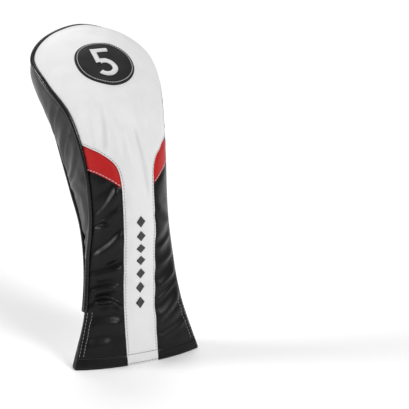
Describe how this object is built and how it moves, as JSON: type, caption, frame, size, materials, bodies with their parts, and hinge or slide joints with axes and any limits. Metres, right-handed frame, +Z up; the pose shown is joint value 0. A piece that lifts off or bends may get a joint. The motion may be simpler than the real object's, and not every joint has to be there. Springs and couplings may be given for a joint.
{
  "type": "fairway wood headcover",
  "caption": "Padded long-neck fairway wood headcover in white, black and red synthetic leather, with a round number patch, piping, knit gores and a fleece lining.",
  "frame": {"origin": "middle of the open mouth, on the plane of the hem", "axes": "+Z up from the mouth to the head, -Y out of the front, +X to the right as the front is seen"},
  "size_m": [0.1292, 0.1623, 0.2994],
  "materials": {
    "white_leather": "satin white synthetic leather with a fine grain",
    "black_leather": "satin black synthetic leather with a fine grain",
    "red_leather": "satin red synthetic leather",
    "piping_leather": "smooth black synthetic leather wrapped over a cord",
    "patch_leather": "smooth black synthetic leather",
    "rib_knit": "elastic knit with upright ribs",
    "light_thread": "light grey polyester thread",
    "grey_thread": "mid grey polyester thread",
    "white_embroidery": "white satin stitch",
    "black_embroidery": "black satin stitch",
    "foam": "open-cell foam padding",
    "elastic": "woven elastic",
    "fleece": "brushed fleece with a short pile",
    "tape": "woven tape",
    "label_satin": "blank satin ribbon"
  },
  "bodies": {
    "root": {"crown_panel": "white_leather", "accent_panel_left": "red_leather", "accent_panel_right": "red_leather", "front_lower_panel_left": "black_leather", "front_lower_panel_right": "black_leather", "gusset_panel": "black_leather", "back_panel": "white_leather", "front_piping": "piping_leather", "back_piping": "piping_leather", "gore_left": "rib_knit", "gore_right": "rib_knit", "number_patch": "patch_leather", "patch_border_stitch": "light_thread", "number_embroidery": "white_embroidery", "stripe_embroidery": "black_embroidery", "crown_topstitch_left": "grey_thread", "crown_topstitch_right": "grey_thread", "accent_topstitch_left": "light_thread", "accent_topstitch_right": "light_thread", "hem_stitch_front": "grey_thread", "hem_stitch_back": "grey_thread", "vent_stitch_left": "grey_thread", "vent_stitch_right": "grey_thread", "front_padding": "foam", "gusset_padding": "foam", "back_padding": "foam", "neck_elastic": "elastic", "front_lining": "fleece", "gusset_lining": "fleece", "back_lining": "fleece", "hem_tape": "tape", "care_label": "label_satin"}
  },
  "joints": []
}
